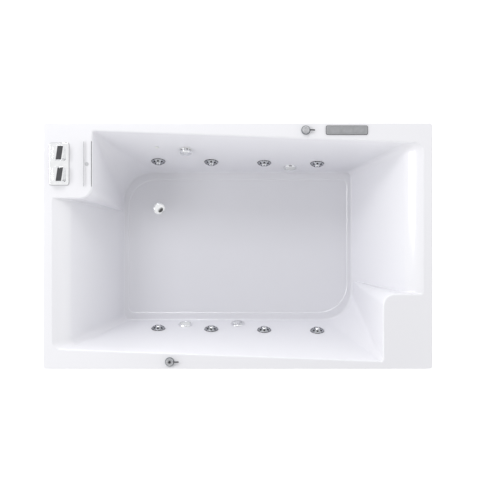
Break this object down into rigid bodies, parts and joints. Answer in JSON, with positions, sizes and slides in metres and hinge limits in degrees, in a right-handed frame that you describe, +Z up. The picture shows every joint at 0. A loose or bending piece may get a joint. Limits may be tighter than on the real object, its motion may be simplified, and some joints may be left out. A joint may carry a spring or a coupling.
{
  "type": "jetted bathtub",
  "caption": "Built-in two-person jetted bathtub with sloped backrests at both ends, corner deck blocks, wall jets, waterfall spout and steel frame.",
  "frame": {"origin": "on the floor under the centre of the tub's plan", "axes": "+X along the tub, +Y across it towards the side with the spout block's back, +Z up"},
  "size_m": [1.9, 1.2, 0.6393],
  "materials": {
    "base_timber": "particle board",
    "black_plastic": "satin",
    "chrome": "polished",
    "galvanised_steel": "dull zinc",
    "grey_keypad": "satin",
    "grey_pvc": "satin",
    "key_membrane": "satin",
    "lamp_lens": "clear",
    "motor_paint": "satin",
    "polished_brass": "machined",
    "satin_steel": "satin",
    "steel": "turned",
    "white_acrylic": "high gloss",
    "white_pvc": "satin"
  },
  "bodies": {
    "root": {"tub_shell": "white_acrylic", "base_board": "base_timber", "long_rail_rear": "galvanised_steel", "long_rail_front": "galvanised_steel", "cross_rail_left": "galvanised_steel", "cross_rail_right": "galvanised_steel", "cross_rail_middle": "galvanised_steel", "jet_bodies": "white_pvc", "light_housings": "chrome", "light_lenses": "lamp_lens", "suction_cover": "chrome", "overflow_body": "white_pvc", "level_sensor": "chrome", "waste_flange": "chrome", "waste_trap": "white_pvc", "overflow_hose": "white_pvc", "release_cable": "black_plastic", "mixer_plate": "chrome", "mixer_valve": "polished_brass", "waterfall_spout": "satin_steel", "filler_hose": "black_plastic", "keypad_frame": "grey_keypad", "air_valves": "grey_pvc", "pump_motor": "motor_paint", "pump_volute": "black_plastic", "water_pipes": "white_pvc", "air_pipes": "grey_pvc", "control_box": "grey_pvc", "control_leads": "black_plastic"},
    "jet_ring_1": {"jet_ring_1": "chrome"},
    "jet_ball_1": {"jet_ball_1": "chrome"},
    "jet_ring_2": {"jet_ring_2": "chrome"},
    "jet_ball_2": {"jet_ball_2": "chrome"},
    "jet_ring_3": {"jet_ring_3": "chrome"},
    "jet_ball_3": {"jet_ball_3": "chrome"},
    "jet_ring_4": {"jet_ring_4": "chrome"},
    "jet_ball_4": {"jet_ball_4": "chrome"},
    "jet_ring_5": {"jet_ring_5": "chrome"},
    "jet_ball_5": {"jet_ball_5": "chrome"},
    "jet_ring_6": {"jet_ring_6": "chrome"},
    "jet_ball_6": {"jet_ball_6": "chrome"},
    "jet_ring_7": {"jet_ring_7": "chrome"},
    "jet_ball_7": {"jet_ball_7": "chrome"},
    "jet_ring_8": {"jet_ring_8": "chrome"},
    "jet_ball_8": {"jet_ball_8": "chrome"},
    "foot_1": {"foot_1": "galvanised_steel"},
    "foot_2": {"foot_2": "galvanised_steel"},
    "foot_3": {"foot_3": "galvanised_steel"},
    "foot_4": {"foot_4": "galvanised_steel"},
    "foot_5": {"foot_5": "galvanised_steel"},
    "overflow_knob": {"overflow_knob": "chrome"},
    "waste_plug": {"waste_plug": "chrome"},
    "mixer_handle_a": {"mixer_handle_a": "chrome"},
    "mixer_handle_b": {"mixer_handle_b": "chrome"},
    "keypad_key_1": {"keypad_key_1": "key_membrane"},
    "keypad_key_2": {"keypad_key_2": "key_membrane"},
    "keypad_key_3": {"keypad_key_3": "key_membrane"},
    "air_knob_1": {"air_knob_1": "chrome"},
    "air_knob_2": {"air_knob_2": "chrome"},
    "pump_rotor": {"pump_rotor": "steel"}
  },
  "joints": [
    {"name": "jet_ring_1_turn", "type": "hinge", "parent": "root", "child": "jet_ring_1", "pos_m": [-0.411, 0.43877, 0.2801], "axis": [-0.0136, -0.9396, 0.3421], "range_deg": [0, 90]},
    {"name": "jet_ball_1_tilt", "type": "hinge", "parent": "jet_ring_1", "child": "jet_ball_1", "pos_m": [-0.41106, 0.43501, 0.28147], "axis": [0.9999, -0.0145, 0], "range_deg": [-12, 12]},
    {"name": "jet_ring_2_turn", "type": "hinge", "parent": "root", "child": "jet_ring_2", "pos_m": [-0.137, 0.43479, 0.2801], "axis": [-0.0137, -0.9478, 0.3186], "range_deg": [0, 90]},
    {"name": "jet_ball_2_tilt", "type": "hinge", "parent": "jet_ring_2", "child": "jet_ball_2", "pos_m": [-0.13706, 0.431, 0.28137], "axis": [0.9999, -0.0145, 0], "range_deg": [-12, 12]},
    {"name": "jet_ring_3_turn", "type": "hinge", "parent": "root", "child": "jet_ring_3", "pos_m": [0.137, 0.43082, 0.28009], "axis": [-0.0138, -0.9555, 0.2946], "range_deg": [0, 90]},
    {"name": "jet_ball_3_tilt", "type": "hinge", "parent": "jet_ring_3", "child": "jet_ball_3", "pos_m": [0.13694, 0.427, 0.28127], "axis": [0.9999, -0.0145, 0], "range_deg": [-12, 12]},
    {"name": "jet_ring_4_turn", "type": "hinge", "parent": "root", "child": "jet_ring_4", "pos_m": [0.411, 0.42684, 0.28008], "axis": [-0.014, -0.9627, 0.27], "range_deg": [0, 90]},
    {"name": "jet_ball_4_tilt", "type": "hinge", "parent": "jet_ring_4", "child": "jet_ball_4", "pos_m": [0.41094, 0.42299, 0.28116], "axis": [0.9999, -0.0145, 0], "range_deg": [-12, 12]},
    {"name": "jet_ring_5_turn", "type": "hinge", "parent": "root", "child": "jet_ring_5", "pos_m": [-0.411, -0.42684, 0.28008], "axis": [0.014, 0.9627, 0.27], "range_deg": [0, 90]},
    {"name": "jet_ball_5_tilt", "type": "hinge", "parent": "jet_ring_5", "child": "jet_ball_5", "pos_m": [-0.41094, -0.42299, 0.28116], "axis": [-0.9999, 0.0145, 0], "range_deg": [-12, 12]},
    {"name": "jet_ring_6_turn", "type": "hinge", "parent": "root", "child": "jet_ring_6", "pos_m": [-0.137, -0.43082, 0.28009], "axis": [0.0138, 0.9555, 0.2946], "range_deg": [0, 90]},
    {"name": "jet_ball_6_tilt", "type": "hinge", "parent": "jet_ring_6", "child": "jet_ball_6", "pos_m": [-0.13694, -0.427, 0.28127], "axis": [-0.9999, 0.0145, 0], "range_deg": [-12, 12]},
    {"name": "jet_ring_7_turn", "type": "hinge", "parent": "root", "child": "jet_ring_7", "pos_m": [0.137, -0.43479, 0.2801], "axis": [0.0137, 0.9478, 0.3186], "range_deg": [0, 90]},
    {"name": "jet_ball_7_tilt", "type": "hinge", "parent": "jet_ring_7", "child": "jet_ball_7", "pos_m": [0.13706, -0.431, 0.28137], "axis": [-0.9999, 0.0145, 0], "range_deg": [-12, 12]},
    {"name": "jet_ring_8_turn", "type": "hinge", "parent": "root", "child": "jet_ring_8", "pos_m": [0.411, -0.43877, 0.2801], "axis": [0.0136, 0.9396, 0.3421], "range_deg": [0, 90]},
    {"name": "jet_ball_8_tilt", "type": "hinge", "parent": "jet_ring_8", "child": "jet_ball_8", "pos_m": [0.41106, -0.43501, 0.28147], "axis": [-0.9999, 0.0145, 0], "range_deg": [-12, 12]},
    {"name": "foot_1_level", "type": "slide", "parent": "root", "child": "foot_1", "axis": [0, 0, 1], "range_m": [-0.03, 0.012]},
    {"name": "foot_2_level", "type": "slide", "parent": "root", "child": "foot_2", "axis": [0, 0, 1], "range_m": [-0.03, 0.012]},
    {"name": "foot_3_level", "type": "slide", "parent": "root", "child": "foot_3", "axis": [0, 0, 1], "range_m": [-0.03, 0.012]},
    {"name": "foot_4_level", "type": "slide", "parent": "root", "child": "foot_4", "axis": [0, 0, 1], "range_m": [-0.03, 0.012]},
    {"name": "foot_5_level", "type": "slide", "parent": "root", "child": "foot_5", "axis": [0, 0, 1], "range_m": [-0.03, 0.012]},
    {"name": "overflow_knob_turn", "type": "hinge", "parent": "root", "child": "overflow_knob", "pos_m": [-0.26201, 0.48507, 0.4201], "axis": [-0.0258, -0.9454, 0.3249], "range_deg": [0, 110]},
    {"name": "waste_plug_lift", "type": "slide", "parent": "root", "child": "waste_plug", "axis": [0, 0, 1], "range_m": [0, 0.01]},
    {"name": "mixer_handle_a_turn", "type": "hinge", "parent": "root", "child": "mixer_handle_a", "pos_m": [-0.871, 0.452, 0.6], "axis": [0, 0, 1], "range_deg": [0, 90]},
    {"name": "mixer_handle_b_turn", "type": "hinge", "parent": "root", "child": "mixer_handle_b", "pos_m": [-0.871, 0.348, 0.6], "axis": [0, 0, 1], "range_deg": [0, 90]},
    {"name": "keypad_key_1_press", "type": "slide", "parent": "root", "child": "keypad_key_1", "axis": [0, 0, -1], "range_m": [0, 0.0012], "stiffness_N_per_m": 400, "springref_m": -0.002},
    {"name": "keypad_key_2_press", "type": "slide", "parent": "root", "child": "keypad_key_2", "axis": [0, 0, -1], "range_m": [0, 0.0012], "stiffness_N_per_m": 400, "springref_m": -0.002},
    {"name": "keypad_key_3_press", "type": "slide", "parent": "root", "child": "keypad_key_3", "axis": [0, 0, -1], "range_m": [0, 0.0012], "stiffness_N_per_m": 400, "springref_m": -0.002},
    {"name": "air_knob_1_turn", "type": "hinge", "parent": "root", "child": "air_knob_1", "pos_m": [0.332, 0.565, 0.6], "axis": [0, 0, 1], "range_deg": [0, 120]},
    {"name": "air_knob_2_turn", "type": "hinge", "parent": "root", "child": "air_knob_2", "pos_m": [-0.332, -0.565, 0.6], "axis": [0, 0, 1], "range_deg": [0, 120]},
    {"name": "pump_rotor_spin", "type": "hinge", "parent": "root", "child": "pump_rotor", "pos_m": [0.78657, -0.412, 0.205], "axis": [0, 1, 0], "continuous": true}
  ],
  "couplings": [
    {"joint": "waste_plug_lift", "follows": "overflow_knob_turn", "m_per_rad": 0.0052}
  ]
}
